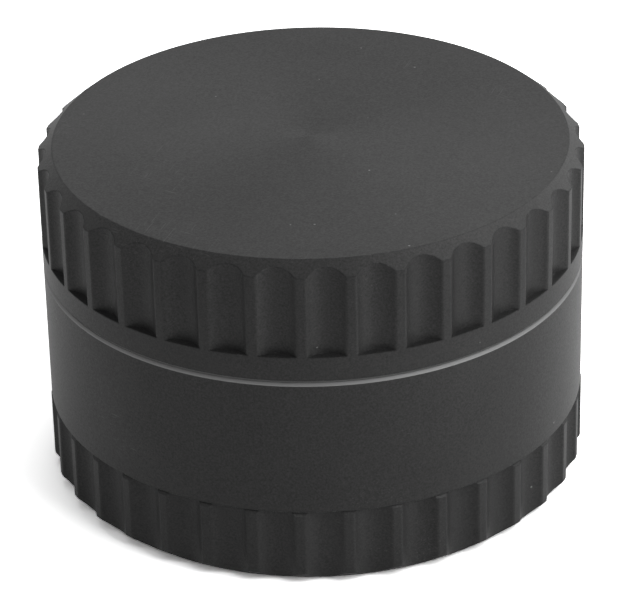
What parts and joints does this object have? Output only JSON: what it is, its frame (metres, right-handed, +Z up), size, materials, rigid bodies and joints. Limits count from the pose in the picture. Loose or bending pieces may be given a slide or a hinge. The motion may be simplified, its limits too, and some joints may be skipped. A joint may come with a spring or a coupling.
{
  "type": "herb grinder",
  "caption": "Round hand-held metal herb grinder: a fluted toothed lid turns on a plain grinding drum, over a screw-in sifter ring and a fluted screw-off catch cup.",
  "frame": {"origin": "on the table, under the middle of the base", "axes": "+Z up along the turning axis; the picture looks along +Y and down"},
  "size_m": [0.063, 0.063, 0.0409],
  "materials": {
    "dark_anodise": "satin dark grey anodised aluminium",
    "seal_rubber": "smooth black rubber",
    "bright_steel": "bright stainless steel",
    "woven_steel": "fine woven stainless wire",
    "magnet_plating": "nickel plating",
    "slip_polymer": "dark grey low-friction polymer"
  },
  "bodies": {
    "base": {"base_cup": "dark_anodise"},
    "lower_seal": {"lower_seal": "seal_rubber"},
    "sifter": {"sifter_ring": "dark_anodise", "screen_hoop": "bright_steel", "screen_mesh": "woven_steel", "snap_ring": "bright_steel"},
    "upper_seal": {"upper_seal": "seal_rubber"},
    "drum": {"grinding_drum": "dark_anodise", "drum_magnet": "magnet_plating"},
    "slip_ring": {"slip_ring": "slip_polymer"},
    "lid": {"lid": "dark_anodise", "lid_magnet": "magnet_plating"}
  },
  "joints": [
    {"name": "sifter_rise", "type": "slide", "parent": "base", "child": "lower_seal", "axis": [0, 0, 1], "range_m": [0, 0.0241]},
    {"name": "sifter_turn", "type": "hinge", "parent": "lower_seal", "child": "sifter", "pos_m": [0, 0, 0], "axis": [0, 0, 1], "range_deg": [0, 1080]},
    {"name": "drum_rise", "type": "slide", "parent": "sifter", "child": "upper_seal", "axis": [0, 0, 1], "range_m": [0, 0.0241]},
    {"name": "drum_turn", "type": "hinge", "parent": "upper_seal", "child": "drum", "pos_m": [0, 0, 0], "axis": [0, 0, 1], "range_deg": [0, 1080]},
    {"name": "lid_lift", "type": "slide", "parent": "drum", "child": "slip_ring", "axis": [0, 0, 1], "range_m": [0, 0.03]},
    {"name": "lid_spin", "type": "hinge", "parent": "slip_ring", "child": "lid", "pos_m": [0, 0, 0], "axis": [0, 0, 1], "continuous": true}
  ],
  "couplings": [
    {"joint": "sifter_rise", "follows": "sifter_turn", "m_per_rad": 0.0012732},
    {"joint": "drum_rise", "follows": "drum_turn", "m_per_rad": 0.0012732}
  ]
}
